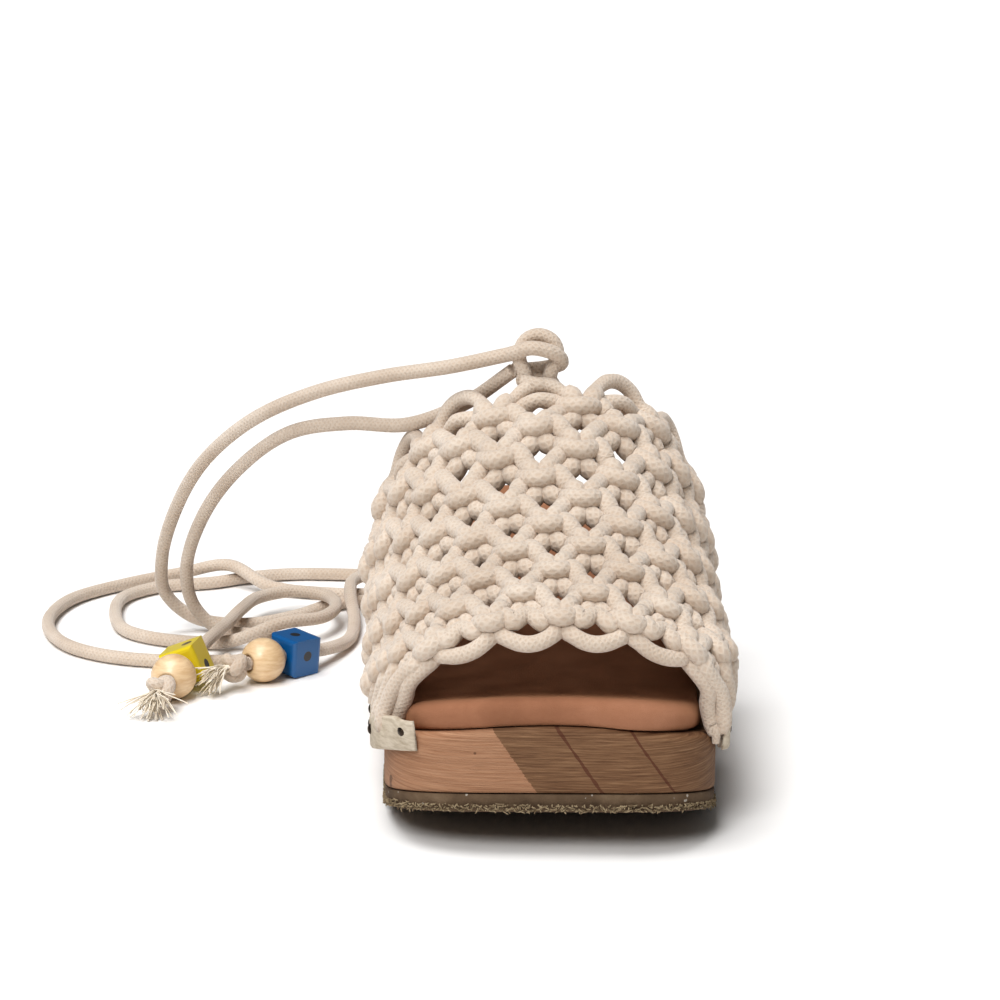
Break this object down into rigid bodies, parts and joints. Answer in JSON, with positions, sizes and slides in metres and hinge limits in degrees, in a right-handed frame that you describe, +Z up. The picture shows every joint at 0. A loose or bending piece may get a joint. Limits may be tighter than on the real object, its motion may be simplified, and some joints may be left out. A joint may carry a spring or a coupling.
{
  "type": "knotted cord clog",
  "caption": "Open-toe mule clog for the right foot: a knotted cotton cord upper with long beaded ties on a padded wooden sole.",
  "frame": {"origin": "on the floor under the middle of the shoe's box, ties left out", "axes": "+Z up, -Y towards the toe, +X towards the inner side of the right foot"},
  "size_m": [0.2284, 0.296, 0.1269],
  "materials": {
    "rubber": "matt grey-brown rubber sheet with a rough lower edge",
    "wood": "bare sawn wood with grain and glue lines",
    "suede": "tan suede with a short nap",
    "cord": "braided natural cotton, matt and slightly fuzzy",
    "strip_leather": "pale beige leather strip",
    "yellow_paint": "wooden cube with glossy yellow paint",
    "blue_paint": "wooden cube with glossy blue paint",
    "bead_wood": "pale turned wood with clear varnish"
  },
  "bodies": {
    "root": {"outsole": "rubber", "wood_sole": "wood", "insole": "suede", "upper": "cord", "side_strip_outer": "strip_leather", "side_strip_inner": "strip_leather", "throat_knot": "cord", "tie_a": "cord", "cube_bead_a": "yellow_paint", "round_bead_a": "bead_wood", "end_knot_a": "cord", "tie_b": "cord", "cube_bead_b": "blue_paint", "round_bead_b": "bead_wood", "end_knot_b": "cord"}
  },
  "joints": []
}
